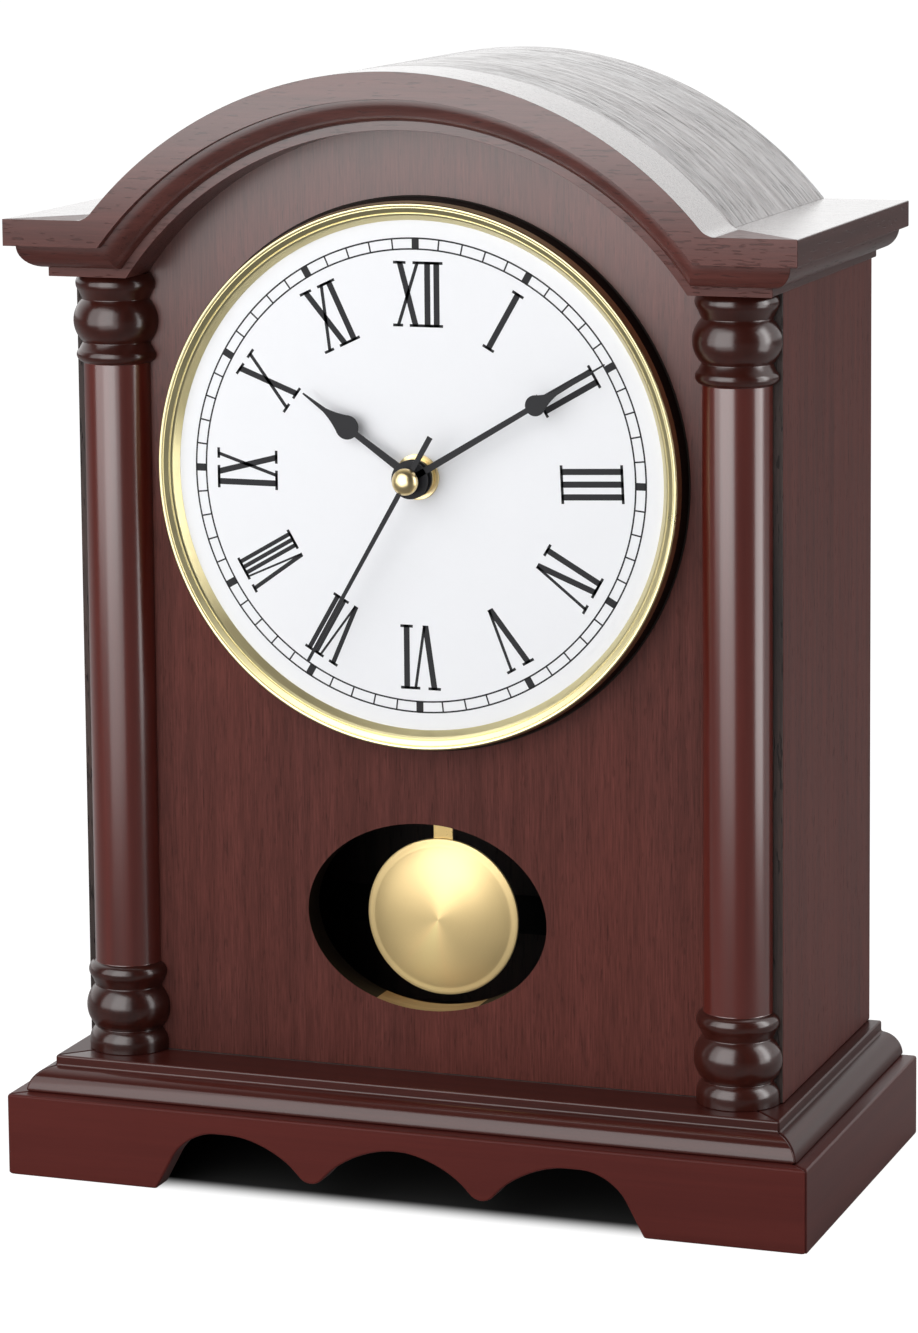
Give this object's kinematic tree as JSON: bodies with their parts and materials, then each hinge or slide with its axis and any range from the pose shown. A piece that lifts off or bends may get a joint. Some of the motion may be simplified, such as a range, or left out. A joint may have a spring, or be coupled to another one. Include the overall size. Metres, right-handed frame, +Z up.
{
  "type": "desk pendulum clock",
  "caption": "Battery desk clock with arched wooden case, turned half columns, brass-framed dial with Roman numbers, and a swinging pendulum behind an oval window",
  "frame": {"origin": "on the table under the middle of the plinth", "axes": "+X to the right of someone facing the dial, +Y to the back of the clock, +Z up"},
  "size_m": [0.229, 0.116, 0.3068],
  "materials": {
    "plinth_wood": "smooth dark cherry lacquer",
    "panel_wood": "dark cherry lacquer over fine upright grain",
    "moulding_wood": "dark cherry lacquer, satin",
    "roof_wood": "dark cherry lacquer over grain that follows the arch",
    "turned_wood": "glossy dark cherry lacquer",
    "back_wood": "dark stained board",
    "bezel_brass": "polished pale gold",
    "ring_gold": "satin gold",
    "cap_brass": "polished",
    "small_brass": "satin",
    "pendulum_brass": "polished and lacquered",
    "dial_face": "matt white with dark print",
    "hand_paint": "satin black",
    "pan_steel": "plated",
    "steel": "plated",
    "catch_plastic": "brown",
    "movement_plastic": "black",
    "gear_plastic": "natural white",
    "cell_jacket": "plain printed jacket",
    "board_laminate": "green laminate",
    "copper_winding": "enamelled wire"
  },
  "bodies": {
    "case": {"arch_front_board": "moulding_wood", "arched_roof": "roof_wood", "back_panel": "back_wood", "base_board": "panel_wood", "base_moulding_front": "moulding_wood", "base_moulding_left": "moulding_wood", "base_moulding_right": "moulding_wood", "battery": "cell_jacket", "battery_contacts": "steel", "bezel": "bezel_brass", "case_screws": "small_brass", "circuit_board": "board_laminate", "column_left": "turned_wood", "column_right": "turned_wood", "crown_moulding_left": "moulding_wood", "crown_moulding_right": "moulding_wood", "dial_nut": "small_brass", "dial_pan": "pan_steel", "dial_plate": "dial_face", "door_hinge_leaves_case": "small_brass", "door_hinge_pins": "small_brass", "drive_coil": "copper_winding", "front_panel": "panel_wood", "insert_clamp_screws": "steel", "insert_clamps": "steel", "magnet_catch": "catch_plastic", "movement_back_cover": "movement_plastic", "movement_front_shell": "movement_plastic", "pendulum_coil": "copper_winding", "plinth_back_rail": "plinth_wood", "plinth_front_rail": "plinth_wood", "plinth_left_rail": "plinth_wood", "plinth_right_rail": "plinth_wood", "rehaut_ring": "ring_gold", "side_panel_left": "panel_wood", "side_panel_right": "panel_wood", "stator": "steel", "train_bridge": "movement_plastic"},
    "minute": {"minute_hand": "hand_paint", "minute_tube": "gear_plastic"},
    "motion": {"motion_wheel": "gear_plastic"},
    "hour": {"hour_hand": "hand_paint", "hour_wheel": "gear_plastic"},
    "setting": {"setting_knob": "gear_plastic"},
    "second": {"second_hand": "hand_paint", "second_hand_cap": "cap_brass", "seconds_wheel": "gear_plastic"},
    "third": {"third_wheel": "gear_plastic"},
    "centre": {"centre_wheel": "gear_plastic"},
    "intermediate": {"intermediate_wheel": "gear_plastic"},
    "rotor": {"rotor": "gear_plastic"},
    "pendulum": {"pendulum_hanger": "movement_plastic", "pendulum_rod": "pendulum_brass", "pendulum_bob": "pendulum_brass"},
    "door": {"back_door": "back_wood", "door_hinge_leaves_door": "small_brass", "door_screws": "small_brass", "door_knob": "small_brass", "strike_plate": "steel"}
  },
  "joints": [
    {"name": "minute_spin", "type": "hinge", "parent": "case", "child": "minute", "pos_m": [0, -0.024, 0.197], "axis": [0, 1, 0], "continuous": true},
    {"name": "motion_spin", "type": "hinge", "parent": "case", "child": "motion", "pos_m": [-0.0041, -0.024, 0.18572], "axis": [0, 1, 0], "continuous": true},
    {"name": "hour_spin", "type": "hinge", "parent": "case", "child": "hour", "pos_m": [0, -0.024, 0.197], "axis": [0, 1, 0], "continuous": true},
    {"name": "setting_spin", "type": "hinge", "parent": "case", "child": "setting", "pos_m": [0.0019, -0.024, 0.17533], "axis": [0, 1, 0], "continuous": true},
    {"name": "second_spin", "type": "hinge", "parent": "case", "child": "second", "pos_m": [0, -0.024, 0.197], "axis": [0, 1, 0], "continuous": true},
    {"name": "third_spin", "type": "hinge", "parent": "case", "child": "third", "pos_m": [0.00612, -0.024, 0.2076], "axis": [0, 1, 0], "continuous": true},
    {"name": "centre_spin", "type": "hinge", "parent": "case", "child": "centre", "pos_m": [0, -0.024, 0.197], "axis": [0, 1, 0], "continuous": true},
    {"name": "intermediate_spin", "type": "hinge", "parent": "case", "child": "intermediate", "pos_m": [-0.00779, -0.024, 0.2015], "axis": [0, 1, 0], "continuous": true},
    {"name": "rotor_spin", "type": "hinge", "parent": "case", "child": "rotor", "pos_m": [-0.01458, -0.024, 0.20542], "axis": [0, 1, 0], "continuous": true},
    {"name": "pendulum_swing", "type": "hinge", "parent": "case", "child": "pendulum", "pos_m": [0, -0.024, 0.1685], "axis": [0, 1, 0], "range_deg": [-9, 9]},
    {"name": "door_hinge", "type": "hinge", "parent": "case", "child": "door", "pos_m": [0.0616, 0.0466, 0.144], "axis": [0, 0, -1], "range_deg": [0, 110]}
  ],
  "couplings": [
    {"joint": "motion_spin", "follows": "minute_spin", "ratio": -0.33333},
    {"joint": "hour_spin", "follows": "minute_spin", "ratio": 0.083333},
    {"joint": "setting_spin", "follows": "minute_spin", "ratio": 1},
    {"joint": "third_spin", "follows": "second_spin", "ratio": -0.13333},
    {"joint": "centre_spin", "follows": "second_spin", "ratio": 0.016667},
    {"joint": "intermediate_spin", "follows": "second_spin", "ratio": -5},
    {"joint": "rotor_spin", "follows": "second_spin", "ratio": 30}
  ]
}
